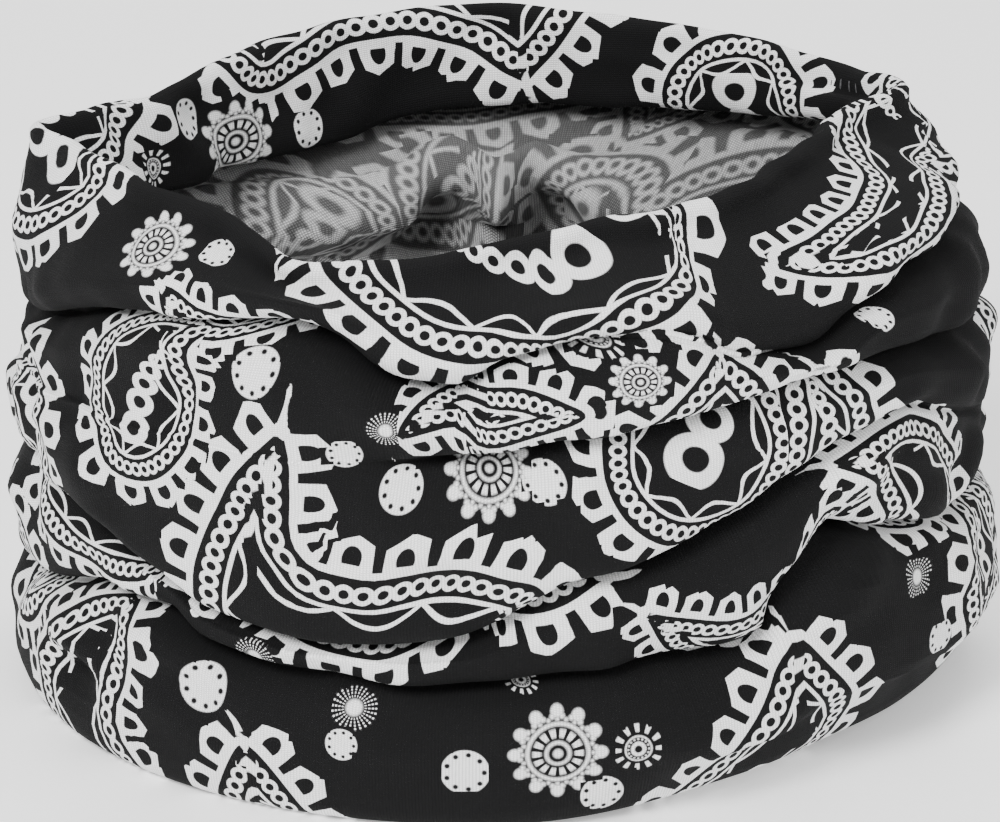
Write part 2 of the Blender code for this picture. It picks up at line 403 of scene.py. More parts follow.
# The print. at = (azimuth, height, band): band -1 is the turned-in flap, 0 the collar and 4 the base.
# shift moves a motif from there, right and up; turn is degrees anticlockwise; size is the border's scale.
# A paisley is its own outline, clockwise from its tip in millimetres, or a round body with a bent tail.
# own keeps it off the fold above.
paisleys = [
    {"at": (4, 102, 0), "size": 1.0, "round": [
        (-52, 34), (-22, 38), (14, 38), (38, 29), (42, 15), (32, 4), (21, -3), (10, -10), (-3, -15),
        (-20, -12), (-33, -3), (-44, 12)],
     "rings": {"at": (12, 17), "turn": 140, "length": 29, "bend": -66, "large": 6.2, "small": 1.5}},
    {"at": (277, 106, 0), "size": 0.82, "shift": (0, 3), "turn": 75, "radius": 18.5, "length": 30,
     "bend": 30},
    {"at": (60, 106, 0), "size": 0.68, "round": [
        (-25, -7), (-14, -4), (0, 0), (12, 5), (24, 12), (38, 16), (48, 8), (44, -4), (30, -9),
        (14, -12), (0, -17), (-14, -16)]},
    {"at": (176, 99, -1), "size": 0.85, "shift": (0, 1), "round": [
        (0, 1.5), (5, -1), (13, -6), (25, -9.5), (38, -8), (52, -4), (60, -8), (63, -22), (52, -40),
        (20, -50), (-10, -42), (-14, -25), (-7, -8)]},
    {"at": (140, 100, -1), "size": 0.75, "shift": (0, 2), "turn": 10, "radius": 15, "length": 30,
     "bend": 30},
    {"at": (97, 111, -1), "size": 0.8, "turn": 180, "radius": 9, "length": 20, "bend": 30},
    {"at": (328, 102, 0), "size": 0.62, "shift": (0, -2.5), "round": [
        (-17, -2), (-10, -1.5), (0, -2.2), (8, -4), (15, -8), (8, -16), (-4, -18), (-14, -12)]},
    {"at": (314, 75, 1), "size": 0.66, "shift": (0, -1), "turn": 0, "radius": 12.5, "length": 34,
     "bend": -85},
    {"at": (336, 80, 1), "size": 0.95, "round": [
        (0, 0), (1, -10), (1, -20), (4, -27), (13, -29), (27, -32), (38, -37), (47, -44), (42, -58),
        (20, -66), (-4, -62), (-18, -50), (-19, -36), (-15, -22), (-8, -9)]},
    {"at": (358, 40, 3), "size": 0.95, "shift": (-1, 5), "own": True, "round": [
        (31, 6), (20, 0), (6, -3), (-8, -2), (-22, 1), (-34, 8), (-28, 20), (0, 24), (20, 18)]},
    {"at": (359, 87, 1), "size": 0.68, "round": [
        (-23, -21), (-18, -10), (-8, -1), (3, 3), (11, 2), (18, -3), (6, -8), (-7, -14)]},
    {"at": (22, 76, 2), "size": 0.82, "shift": (3, -3), "turn": -8, "radius": 18.5, "length": 34,
     "bend": 8,
     "rings": {"at": (-1, -1), "turn": -20, "length": 14, "bend": 0, "large": 5.0, "small": 3.0}},
    {"at": (38, 76, 2), "size": 0.85, "shift": (4, -12), "turn": 4, "radius": 11, "length": 34,
     "bend": 10},
    {"at": (54, 60, 3), "size": 0.7, "round": [
        (-17, 6), (-6, 10), (4, 9), (13, 2), (18, -10), (16, -24), (4, -26), (0, -14), (-6, -3)]},
    {"at": (24, 43, 3), "size": 0.68, "round": [
        (-13, 1), (-4, -2), (6, -4), (16, -2), (28, 3), (36, 0), (30, -14), (10, -18), (-4, -12)]},
    {"at": (32, 20, 4), "size": 0.85, "round": [
        (7, 13), (13, 6), (19, -2), (21, -10), (17, -20), (4, -27), (-12, -26), (-18, -20),
        (-12, -12), (-5, -4), (1, 5)]},
    {"at": (314, 14, 4), "size": 0.8, "round": [
        (-6, 24), (0, 13), (-3, 3), (-3, -6), (0, -14), (-9, -24), (-24, -18), (-29, -2), (-20, 14)]},
    {"at": (332, 10, 4), "size": 0.85, "shift": (1, -24), "turn": 4, "radius": 13, "length": 29,
     "bend": 8},
    {"at": (283, 24, 4), "size": 0.75, "shift": (0, 2), "turn": 40, "radius": 12, "length": 26,
     "bend": 50},
    {"at": (286, 62, 2), "size": 0.75, "turn": 200, "radius": 12, "length": 26, "bend": 50},
    {"at": (306, 43, 3), "size": 0.68, "own": True, "round": [
        (32, -7), (18, -7), (2, -6), (-14, -5), (-27, 1), (-30, 12), (-16, 16), (4, 11), (20, 4)]},
    {"at": (73, 24, 4), "size": 0.8, "shift": (3, 0), "turn": -20, "radius": 13, "length": 28,
     "bend": 45},
]
spots = [
    ("medallion", (311, 103, 0), 8.0), ("disc", (322, 104, 0), 3.6), ("disc", (244, 103, -1), 4.2),
    ("medallion", (231, 95, -1), 8.5), ("sun", (254, 96, -1), 4.0), ("disc", (213, 93, -1), 3.8),
    ("disc", (331, 88, 1), 4.7), ("disc", (342, 75, 1), 3.2), ("starburst", (347, 81, 1), 3.6),
    ("disc", (349, 68, 2), 4.2), ("medallion", (359, 71, 2), 8.6), ("disc", (5, 70, 2), 4.0),
    ("medallion", (16, 91, 1), 5.4), ("sun", (11, 96, 1), 5.4), ("disc", (50, 91, 1), 3.4),
    ("starburst", (58, 35, 4), 4.4), ("disc", (61, 22, 4), 3.6), ("medallion", (89, 35, 4), 8.0),
    ("disc", (324, 23, 4), 5.2), ("starburst", (343, 24, 4), 4.4), ("disc", (342, 17, 4), 3.2),
    ("disc", (356, 13.5, 4), 4.6), ("medallion", (6, 17, 4), 9.2), ("sun", (15, 17, 4), 4.6),
    ("disc", (12, 7.5, 4), 4.2), ("starburst", (331, 31, 3), 4.2), ("sun", (2, 28, 4), 3.4),
]
spotKinds = {"disc": 1, "medallion": 2, "sun": 3, "starburst": 4}
for step in range(7):  # round the back, which repeats
    turnAway = 100 + step * 24
    paisleys.append({"at": (turnAway, 62 + 4 * (step % 2), 2), "size": 0.8, "turn": 40 * step,
                     "radius": 14 + step % 3, "length": 30, "bend": 45})
    paisleys.append({"at": (turnAway + 10, 100, 0), "size": 0.8, "turn": 70 + 50 * step,
                     "radius": 14 - step % 3, "length": 28, "bend": 40, "own": True})
    paisleys.append({"at": (turnAway + 4, 17, 4), "size": 0.8, "turn": 15 - 50 * step,
                     "radius": 13 + step % 2, "length": 30, "bend": 45})
    spots += [("medallion", (turnAway + 12, 44, 3), 7.0), ("disc", (turnAway + 14, 60, 2), 4.0),
              ("disc", (turnAway + 18, 20, 4), 4.4), ("disc", (turnAway + 22, 98, 0), 3.6),
              ("starburst", (turnAway + 2, 40, 3), 3.5)]
for at, turn in (((160, 78, 1), 150), ((190, 80, 1), 20), ((216, 78, 1), 215), ((140, 76, 1), 60)):
    paisleys.append({"at": at, "size": 0.9, "turn": turn, "radius": 14, "length": 32, "bend": 50})
border = {"pitch": 10.5, "petal": 8.8, "horn": 8.0}  # at size 1: along the outline, outwards, past the tip
ringSpacing = 1.85  # in a paisley's row of rings, in ring radii


def throughPoints(points, count):
    # a smooth line with evenly spaced points
    p = np.array(points, float)
    p = np.concatenate([2 * p[:1] - p[1:2], p, 2 * p[-1:] - p[-2:-1]])
    line = []
    for a, b, c, d in zip(p[:-3], p[1:-2], p[2:-1], p[3:]):
        for t in np.arange(12) / 12:
            line.append(0.5 * (2 * b + (c - a) * t + (2 * a - 5 * b + 4 * c - d) * t**2
                               + (3 * b - a - 3 * c + d) * t**3))
    line.append(p[-2])
    line = np.array(line)
    along = np.r_[0, np.cumsum(np.linalg.norm(np.diff(line, axis=0), axis=1))]
    share = np.linspace(0, along[-1], count)
    return np.stack([np.interp(share, along, line[:, 0]), np.interp(share, along, line[:, 1])], 1)


def paisleyOutline(shape):
    # clockwise from the tip, down one side, round the body and back to the tip
    if "round" in shape:
        return throughPoints([*shape["round"], shape["round"][0]], 150)
    q = np.linspace(0, 1, 49)
    heading = radians(shape["bend"]) * q**1.3
    step = shape["length"] / 48
    across = np.stack([np.cos(heading), np.sin(heading)], 1)
    ahead = np.stack([-np.sin(heading[:-1]), np.cos(heading[:-1])], 1)
    middle = np.concatenate([np.zeros((1, 2)), np.cumsum(ahead, 0)])
    width = shape["radius"] * (1 - q**1.7) ** 0.85
    cap = np.radians(np.linspace(0, -180, 41))[1:-1]
    body = shape["radius"] * np.stack([np.cos(cap), np.sin(cap)], 1)
    line = np.concatenate([(middle * step + across * width[:, None])[::-1], body,
                           middle * step - across * width[:, None]])
    return throughPoints(line[::3].tolist() + [line[-1].tolist()], 150)


def nearest(points, line):
    # distance to the line, and the piece and the share along it where that is
    start, run = line[:-1], np.diff(line, axis=0)
    share = ((points[:, None] - start) * run).sum(2) / np.maximum((run**2).sum(1), 1e-9)
    share = np.clip(share, 0, 1)
    gap = np.linalg.norm(points[:, None] - start - share[:, :, None] * run, axis=2)
    piece = gap.argmin(1)
    k = np.arange(len(points))
    return gap[k, piece], piece, share[k, piece]


# what each face's corners hold: places along and across the motif that the material draws
rowsOfFaces = len(grid) - 1
noTrim = (0, -60, 9)  # deep inside a border and far from its horn, so nothing is drawn
trim = np.full((rowsOfFaces, cloth["columns"], 4, 3), noTrim, np.float32)
core = np.full((rowsOfFaces, cloth["columns"], 4, 3), 9, np.float32)
dots = np.zeros((rowsOfFaces, cloth["columns"], 4, 3), np.float32)
trimScore, coreScore, dotScore = (np.ones((rowsOfFaces, cloth["columns"])) for _ in range(3))


def cornersOf(values):
    # vertex values in a window of columns, as the four corners of each face
    return np.stack([values[:-1, :-1], values[1:, :-1], values[1:, 1:], values[:-1, 1:]], 2)


def printPaisley(shape):
    line = paisleyOutline(shape)
    size = shape["size"]
    margin = border["petal"] * size + 3
    columns, x, y = flatPlace(shape, np.abs(line).max() * 1.1 + margin)
    near = (x > line[:, 0].min() - margin) & (x < line[:, 0].max() + margin)
    near &= (y > line[:, 1].min() - margin) & (y < line[:, 1].max() + margin)
    if shape.get("own"):
        near[:bandStart[shape["at"][2]]] = False
    points = np.stack([x[near], y[near]], 1)
    gap, piece, share = nearest(points, line)
    inside = insideOf(points, line)
    lengths = np.linalg.norm(np.diff(line, axis=0), axis=1)
    along = np.r_[0, np.cumsum(lengths)]
    petals = max(2, round(along[-1] / (border["pitch"] * size)))
    distance, phase = np.full(x.shape, 99.0), np.zeros(x.shape)
    distance[near] = gap * np.where(inside, -1, 1) / size
    phase[near] = (along[piece] + share * lengths[piece]) / along[-1] * petals
    tip, horn = line[0], np.full(x.shape, 9.0)
    out = 2 * tip - line[6] - line[-7]
    out *= border["horn"] * size / np.linalg.norm(out)
    sideways = np.array([-out[1], out[0]])
    bends = ((-0.2, 0), (0.35, 0.05), (0.7, 0.2), (1, 0.5))
    bow = throughPoints([tip + a * out + b * sideways for a, b in bends], 12)
    gap, piece, share = nearest(points, bow)
    horn[near] = gap / size - 1.3 * (1 - (piece + share) / 11.5) ** 0.7
    d, p, h = cornersOf(distance), cornersOf(phase), cornersOf(horn)
    broken = np.ptp(p, axis=2) > 0.5 * petals
    p = np.where(broken[:, :, None] & (p < 0.5 * petals), p + petals, p)
    torn = (np.ptp(p, axis=2) > 0.8) & (d.min(2) < 0)  # where the two sides of the border meet
    p = np.where(torn[:, :, None], 0, p)
    value = np.stack([p, d, h], 3)
    score = np.minimum(d.mean(2) - border["petal"], 9 * (h.mean(2) - 0.3))
    put(trim, trimScore, columns, score, value)
    rings = shape.get("rings")
    if rings is None:
        if "round" in shape:
            return
        radius = shape["radius"]
        rings = {"at": (0, -0.2 * radius), "turn": 0, "length": 0.6 * shape["length"],
                 "bend": 0.6 * shape["bend"], "large": 0.26 * radius, "small": 0.10 * radius}
    turn = radians(rings["turn"])
    u, v = x - rings["at"][0], y - rings["at"][1]
    u, v = u * cos(turn) + v * sin(turn), -u * sin(turn) + v * cos(turn)
    bend = radians(rings["bend"]) / rings["length"]
    if abs(bend) > 1e-4:
        bow = 1 / bend
        q = np.arctan2(v, (u + bow) * np.sign(bow)) * abs(bow)
        offset = (np.hypot(u + bow, v) - abs(bow)) * np.sign(bow)
    else:
        q, offset = v, u
    share = q / rings["length"]
    width = rings["large"] + (rings["small"] - rings["large"]) * np.clip(share, -0.6, 1.2)
    slope = (rings["large"] - rings["small"]) / rings["length"]
    growth = -ringSpacing * slope
    count = np.log(np.maximum(width, 0.05) / rings["large"]) / growth + 0.5
    total = round(np.log(rings["small"] / rings["large"]) / growth + 1)
    m, e = cornersOf(count), cornersOf(offset / width)
    free = (m.min(2) > -0.6) & (m.max(2) < total + 0.6) & (cornersOf(distance).max(2) < -4)
    score = np.where(free, np.abs(e).mean(2) - 1.6, 2)
    put(core, coreScore, columns, score, np.stack([m, e, 0 * m + total], 3))


def insideOf(points, line):
    # how often the line winds round each point
    a = line[None, :-1] - points[:, None]
    b = line[None, 1:] - points[:, None]
    turn = np.arctan2(a[..., 0] * b[..., 1] - a[..., 1] * b[..., 0], (a * b).sum(2))
    return np.abs(turn.sum(1)) > pi


def put(layer, scores, columns, score, value):
    target = columns[:-1]
    better = score < np.minimum(scores[:, target], 0)
    rows, places = np.nonzero(better)
    layer[rows, target[places]] = value[rows, places]
    scores[rows, target[places]] = score[rows, places]


def printSpot(kind, at, radius):
    columns, x, y = flatPlace({"at": at}, radius + 3)
    u, v = cornersOf(x / radius), cornersOf(y / radius)
    score = np.hypot(u, v).mean(2) - 1.12
    blocked = trimScore[:, columns[:-1]] < -border["petal"] + 2
    score = np.where(blocked, 2, score)
    local = trim[:, columns[:-1]]
    local[score < 0.06] = noTrim
    trim[:, columns[:-1]] = local
    put(dots, dotScore, columns, score, np.stack([u, v, spotKinds[kind] + 0 * u], 3))


for shape in paisleys:
    printPaisley(shape)
for kind, at, radius in spots:
    printSpot(kind, at, radius)
print("print laid out:", len(paisleys), "paisleys and", len(spots), "small motifs")


def inkTools(tree):
    # short names for the few node kinds that a drawn pattern needs
    def calc(operation, *values):
        node = tree.nodes.new("ShaderNodeMath")
        node.operation = operation
        for socket, value in zip(node.inputs, values):
            if isinstance(value, (int, float)):
                socket.default_value = value
            else:
                tree.links.new(value, socket)
        return node.outputs[0]

    def below(value, edge, soft=0.1):
        if not isinstance(edge, (int, float)):
            value, edge = calc("SUBTRACT", value, edge), 0
        node = tree.nodes.new("ShaderNodeMapRange")
        node.interpolation_type = "SMOOTHSTEP"
        tree.links.new(value, node.inputs["Value"])
        node.inputs["From Min"].default_value = edge - soft
        node.inputs["From Max"].default_value = edge + soft
        node.inputs["To Min"].default_value = 1
        node.inputs["To Max"].default_value = 0
        return node.outputs["Result"]

    def band(value, low, high, soft=0.1):
        middle = 0.5 * (low + high)
        return below(calc("ABSOLUTE", calc("SUBTRACT", value, middle)), high - middle, soft)

    def radius(x, y):
        return calc("SQRT", calc("ADD", calc("MULTIPLY", x, x), calc("MULTIPLY", y, y)))

    def vectorOf(name):
        attribute = tree.nodes.new("ShaderNodeAttribute")
        attribute.attribute_name = name
        split = tree.nodes.new("ShaderNodeSeparateXYZ")
        tree.links.new(attribute.outputs["Vector"], split.inputs[0])
        return split.outputs

    return calc, below, band, radius, vectorOf


def drawTrim(tree, soft):
    # petals outwards from a paisley's outline, then a string of beads, a line and arches inside it
    calc, below, band, radius, vectorOf = inkTools(tree)
    phase, distance, horn = vectorOf("trim")
    across = calc("MULTIPLY", calc("SUBTRACT", calc("FRACT", phase), 0.5), border["pitch"])
    side = calc("ABSOLUTE", across)
    lean = calc("ABSOLUTE", calc("SUBTRACT", across, 0.7))
    flank = calc("MULTIPLY_ADD", distance, -0.06, 4.35)
    top = calc("MULTIPLY_ADD", lean, -0.55, border["petal"])
    petals = calc("MULTIPLY", below(side, flank, soft), below(distance, top, soft))
    hole = radius(calc("DIVIDE", across, 1.8), calc("DIVIDE", calc("SUBTRACT", distance, 3.6), 2.7))
    hole = calc("MULTIPLY", below(hole, 1.0, soft * 0.5), calc("SUBTRACT", 1, below(distance, 2.4, soft)))
    outside = calc("SUBTRACT", 1, below(distance, 0.0, soft))
    petals = calc("MULTIPLY", calc("SUBTRACT", petals, hole), outside)
    rim = band(distance, 0.0, 1.45, soft)
    beadPitch = border["pitch"] / 3
    beadAcross = calc("SUBTRACT", calc("FRACT", calc("MULTIPLY", phase, 3)), 0.5)
    beadAcross = calc("MULTIPLY", beadAcross, beadPitch)
    bead = band(radius(beadAcross, calc("ADD", distance, 3.5)), 1.0, 2.05, soft)
    line = band(distance, -7.4, -6.5, soft)
    arch = calc("SINE", calc("MULTIPLY", calc("FRACT", calc("MULTIPLY", phase, 0.6)), pi))
    arch = band(calc("ADD", distance, calc("MULTIPLY_ADD", arch, 3.4, 7.1)), -0.5, 0.5, soft)
    ink = petals
    for more in (rim, bead, line, arch, below(horn, 0.0, soft)):
        ink = calc("MAXIMUM", ink, more)
    return ink


def drawCore(tree, soft):
    # a row of rings that grow or shrink along the middle of a paisley
    calc, below, band, radius, vectorOf = inkTools(tree)
    phase, offset, count = vectorOf("core")
    along = calc("MULTIPLY", calc("SUBTRACT", calc("FRACT", phase), 0.5), ringSpacing)
    shown = calc("MULTIPLY", calc("GREATER_THAN", phase, 0), calc("LESS_THAN", phase, count))
    return calc("MULTIPLY", band(radius(along, offset), 0.48, 1.05, soft * 0.4), shown)


def drawDots(tree, soft):
    calc, below, band, radius, vectorOf = inkTools(tree)
    x, y, kind = vectorOf("dots")
    r = radius(x, y)
    angle = calc("ARCTAN2", y, x)
    soft = soft * 0.4

    def spokes(count, shift=0.5):  # distance from the nearest spoke, as a share of the gap
        turn = calc("FRACT", calc("MULTIPLY_ADD", angle, count / (2 * pi), shift))
        return calc("ABSOLUTE", calc("SUBTRACT", turn, 0.5))

    def dotsAt(count, ring, size, shift=0.5):  # round dots on a ring
        sideways = calc("MULTIPLY", calc("MULTIPLY", spokes(count, shift), 2 * pi / count), r)
        return below(radius(sideways, calc("SUBTRACT", r, ring)), size, soft)

    def joined(*marks):
        ink = marks[0]
        for more in marks[1:]:
            ink = calc("MAXIMUM", ink, more)
        return ink

    disc = calc("MULTIPLY", below(r, 0.97, soft), calc("SUBTRACT", 1, dotsAt(9, 0.76, 0.11)))
    sideways = calc("MULTIPLY", calc("MULTIPLY", spokes(12), 2 * pi / 12), r)
    lobes = radius(sideways, calc("SUBTRACT", r, 0.86))
    medallion = joined(below(lobes, 0.125, soft), dotsAt(24, 0.76, 0.05, 0.0), band(r, 0.57, 0.64, soft),
                       dotsAt(24, 0.70, 0.035),
                       calc("MULTIPLY", band(r, 0.34, 0.50, soft), below(spokes(14), 0.30, 0.06)),
                       band(r, 0.20, 0.26, soft), below(r, 0.09, soft))
    sun = joined(band(r, 0.16, 0.30, soft), dotsAt(16, 0.41, 0.035), band(r, 0.48, 0.54, soft),
                 calc("MULTIPLY", band(r, 0.68, 0.98, soft), below(spokes(12), 0.20, 0.06)))
    rays = calc("MULTIPLY", band(r, 0.40, 0.98, soft), below(spokes(26), 0.17, 0.08))
    breaks = below(calc("FRACT", calc("MULTIPLY", r, 7)), 0.6)
    starburst = joined(below(r, 0.33, 0.1), calc("MULTIPLY", rays, breaks))
    ink = None
    drawn = {"disc": disc, "medallion": medallion, "sun": sun, "starburst": starburst}
    for name, mark in drawn.items():
        mark = calc("MULTIPLY", mark, calc("COMPARE", kind, spotKinds[name], 0.3))
        ink = mark if ink is None else calc("ADD", ink, mark)
    return ink


def jersey(name, look):
    material = bpy.data.materials.new(name)
    material.use_nodes = True
    tree = material.node_tree
    shader = tree.nodes["Principled BSDF"]
    calc = inkTools(tree)[0]
    small = calc("MAXIMUM", drawCore(tree, look["soft"]), drawDots(tree, look["soft"]))
    ink = calc("MAXIMUM", drawTrim(tree, look["soft"]), small)
    uv = tree.nodes.new("ShaderNodeUVMap")
    uv.uv_map = "cloth"
    split = tree.nodes.new("ShaderNodeSeparateXYZ")
    tree.links.new(uv.outputs["UV"], split.inputs[0])
    across = calc("FRACT", calc("DIVIDE", split.outputs[0], look["wale"]))
    fromMiddle = calc("ABSOLUTE", calc("SUBTRACT", across, 0.5))
    along = calc("DIVIDE", split.outputs[1], look["course"])
    along = calc("FRACT", calc("MULTIPLY_ADD", fromMiddle, look["chevron"], along))
    loop = calc("SINE", calc("MULTIPLY", along, pi))
    loop = calc("MULTIPLY", loop, calc("COSINE", calc("MULTIPLY", fromMiddle, pi)))
    noise = tree.nodes.new("ShaderNodeTexNoise")
    stretch = tree.nodes.new("ShaderNodeMapping")
    stretch.inputs["Scale"].default_value = (1.9, 0.5, 1)
    tree.links.new(uv.outputs["UV"], stretch.inputs["Vector"])
    tree.links.new(stretch.outputs["Vector"], noise.inputs["Vector"])
    noise.inputs["Scale"].default_value = 1.0
    noise.inputs["Detail"].default_value = 2
    mix = tree.nodes.new("ShaderNodeMix")
    mix.data_type = "RGBA"
    mix.inputs["A"].default_value = (*look["dark"], 1)
    mix.inputs["B"].default_value = (*look["light"], 1)
    tree.links.new(ink, mix.inputs["Factor"])
    # painted highlight and shade: each knit loop is coloured lighter on its crown and darker in the grooves
    # between loops, on top of the bump
    shade = calc("MULTIPLY_ADD", loop, look["loopShade"], 1 - 0.55 * look["loopShade"])
    uneven = calc("MULTIPLY_ADD", noise.outputs["Fac"], look["uneven"], 1 - 0.5 * look["uneven"])
    shade = calc("MULTIPLY", shade, uneven)
    tone = tree.nodes.new("ShaderNodeVectorMath")
    tone.operation = "SCALE"
    tree.links.new(mix.outputs["Result"], tone.inputs[0])
    tree.links.new(shade, tone.inputs["Scale"])
    tree.links.new(tone.outputs[0], shader.inputs["Base Color"])
    bump = tree.nodes.new("ShaderNodeBump")
    bump.inputs["Strength"].default_value = look["bump"]
    bump.inputs["Distance"].default_value = 0.00015
    tree.links.new(loop, bump.inputs["Height"])
    tree.links.new(bump.outputs["Normal"], shader.inputs["Normal"])
    shader.inputs["Roughness"].default_value = 0.88
    shader.inputs["Specular IOR Level"].default_value = 0.18
    shader.inputs["Sheen Weight"].default_value = look["sheen"]
    shader.inputs["Sheen Roughness"].default_value = 0.5
    return material


def allFaces(values):  # corner values for the face side, the wrong side and both cut edges
    strips = [values[0][:, (0, 3, 3, 0)], values[-1][:, (1, 2, 2, 1)]]
    parts = [part.reshape(-1, values.shape[-1]) for part in (values, values[:, :, ::-1], *strips)]
    return np.concatenate(parts).astype(np.float32).ravel()


def makeTube():
    rows, columns = surface.shape[:2]
    normal = clothNormal(surface)
    outer = (surface + normal * cloth["thickness"] / 2) * mm
    inner = (surface - normal * cloth["thickness"] / 2) * mm
    index = np.arange(rows * columns).reshape(rows, columns)
    nextIndex = np.roll(index, -1, axis=1)
    quads = np.stack([index[:-1], index[1:], nextIndex[1:], nextIndex[:-1]], 2)
    back = rows * columns  # the wrong side's points follow the face side's
    reverse = quads[:, :, ::-1] + back
    top = np.stack([index[0], nextIndex[0], nextIndex[0] + back, index[0] + back], 1)
    end = np.stack([index[-1] + back, nextIndex[-1] + back, nextIndex[-1], index[-1]], 1)
    faces = np.concatenate([quads.reshape(-1, 4), reverse.reshape(-1, 4), top, end])
    mesh = bpy.data.meshes.new("neck_tube")
    points = np.concatenate([outer.reshape(-1, 3), inner.reshape(-1, 3)])
    mesh.from_pydata(points, [], faces.tolist())
    mesh.shade_smooth()
    for name, layer in (("trim", trim), ("core", core), ("dots", dots)):
        attribute = mesh.attributes.new(name, "FLOAT_VECTOR", "CORNER")
        attribute.data.foreach_set("vector", allFaces(layer))
    share = np.arange(columns + 1) / columns * cloth["round"]
    u = np.broadcast_to(share, (rows, columns + 1))
    v = np.concatenate([arcAlong, arcAlong[:, :1]], 1)
    uv = np.stack([cornersOf(u), cornersOf(v)], 3)
    mesh.uv_layers.new(name="cloth").data.foreach_set("uv", allFaces(uv))
    tube = bpy.data.objects.new("neck_tube", mesh)
    bpy.context.scene.collection.objects.link(tube)
    mesh.materials.append(jersey("printed jersey", printedFace))
    mesh.materials.append(jersey("jersey reverse and shade", reverseWithShade))
    slots = np.zeros(len(faces), np.int32)
    slots[(rows - 1) * columns: 2 * (rows - 1) * columns] = 1
    mesh.polygons.foreach_set("material_index", slots)
    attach(tube, "root")
    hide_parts("knit_tube")
    return tube


printedFace = {"dark": (0.0040, 0.0040, 0.0043), "light": (0.95, 0.95, 0.95), "wale": 0.5, "course": 0.42,
               "chevron": 0.9, "loopShade": 0.55, "uneven": 0.25, "bump": 0.8, "sheen": 0.0, "soft": 0.10}
# the reverse is grey where the print shows through, and both its tones are set darker still as painted
# shade for the inside of the tube
reverseWithShade = {"dark": (0.09, 0.09, 0.09), "light": (0.42, 0.42, 0.42), "wale": 0.5, "course": 0.42,
             "chevron": 0.0, "loopShade": 0.85, "uneven": 0.7, "bump": 0.9, "sheen": 0.05, "soft": 0.5}
tube = makeTube()
print("cloth made:", len(tube.data.polygons), "faces")


def wovenFinish(name, colour, rib, height, roughness):
    # fine ribs across a thread or a ribbon
    material = bpy.data.materials.new(name)
    material.use_nodes = True
    tree = material.node_tree
    shader = tree.nodes["Principled BSDF"]
    place = tree.nodes.new("ShaderNodeTexCoord")
    wave = tree.nodes.new("ShaderNodeTexWave")
    wave.bands_direction = "DIAGONAL"
    wave.inputs["Scale"].default_value = 0.31 / rib
    wave.inputs["Distortion"].default_value = 1.2
    wave.inputs["Detail"].default_value = 2
    tree.links.new(place.outputs["Object"], wave.inputs["Vector"])
    # painted shade: the grooves between the ribs are coloured darker, down to 0.62 of the colour, beside
    # the bump
    mix = tree.nodes.new("ShaderNodeMix")
    mix.data_type = "RGBA"
    mix.inputs["A"].default_value = (*[0.62 * c for c in colour], 1)
    mix.inputs["B"].default_value = (*colour, 1)
    tree.links.new(wave.outputs["Fac"], mix.inputs["Factor"])
    tree.links.new(mix.outputs["Result"], shader.inputs["Base Color"])
    bump = tree.nodes.new("ShaderNodeBump")
    bump.inputs["Distance"].default_value = height
    tree.links.new(wave.outputs["Fac"], bump.inputs["Height"])
    tree.links.new(bump.outputs["Normal"], shader.inputs["Normal"])
    shader.inputs["Roughness"].default_value = roughness
    shader.inputs["Sheen Weight"].default_value = 0.2
    return material


def finishPiece(piece, material, slot, *nodes):
    piece.data.materials.clear()
    piece.data.materials.append(material)
    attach(piece, "root")
    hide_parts(*nodes)


overlock = {"pitch": 2.4, "depth": 3.2, "radius": 0.2, "steps": 12}


def makeOverlock(name, edge, inner, face, node):
    # one thread wound round the cut edge; edge and inner are rows of points, face is the cloth's normal
    around = np.r_[0, np.cumsum(np.linalg.norm(np.roll(edge, -1, axis=0) - edge, axis=1))]
    loops = int(around[-1] / overlock["pitch"])
    count = loops * overlock["steps"]
    share = np.arange(count) / count * around[-1]
    angle = 2 * pi * np.arange(count) / overlock["steps"]

    def at(row):
        closed = np.concatenate([row, row[:1]])
        return np.stack([np.interp(share, around, closed[:, k]) for k in range(3)], 1)

    start, normal = at(edge), at(face)
    into = at(inner) - start
    into /= np.linalg.norm(into, axis=1, keepdims=True)
    reach = overlock["depth"] * 0.5 * (1 - np.cos(angle)) - 1.6 * overlock["radius"]
    side = np.sin(angle) * (0.5 * cloth["thickness"] + overlock["radius"])
    points = (start + into * reach[:, None] + normal * side[:, None]) * mm
    points[:, 2] = np.maximum(points[:, 2], 1.05 * overlock["radius"] * mm)
    curve = bpy.data.curves.new(name, "CURVE")
    curve.dimensions = "3D"
    curve.bevel_depth = overlock["radius"] * mm
    curve.bevel_resolution = 1
    spline = curve.splines.new("POLY")
    spline.points.add(count - 1)
    spline.points.foreach_set("co", np.concatenate([points, np.ones((count, 1))], 1).ravel())
    spline.use_cyclic_u = True
    thread = bpy.data.objects.new(name, curve)
    bpy.context.scene.collection.objects.link(thread)
    bpy.ops.object.select_all(action="DESELECT")
    thread.select_set(True)
    bpy.context.view_layer.objects.active = thread
    bpy.ops.object.convert(target="MESH")
    bpy.ops.object.shade_smooth()
    finishPiece(thread, edgeThread, "edge_thread", node)
    return thread


edgeThread = wovenFinish("edge thread", (0.055, 0.055, 0.058), 0.0006, 0.00008, 0.7)
face = clothNormal(surface)
upperThread = makeOverlock("upper_overlock", surface[0], surface[2], face[0], "upper_edge_stitching")
lowerThread = makeOverlock("lower_overlock", surface[-1], surface[-3], face[-1], "lower_edge_stitching")
print("edges overlocked:", len(upperThread.data.polygons) + len(lowerThread.data.polygons), "faces")

label = {"thickness": 0.00035, "stitches": 5, "stitchRadius": 0.00026}


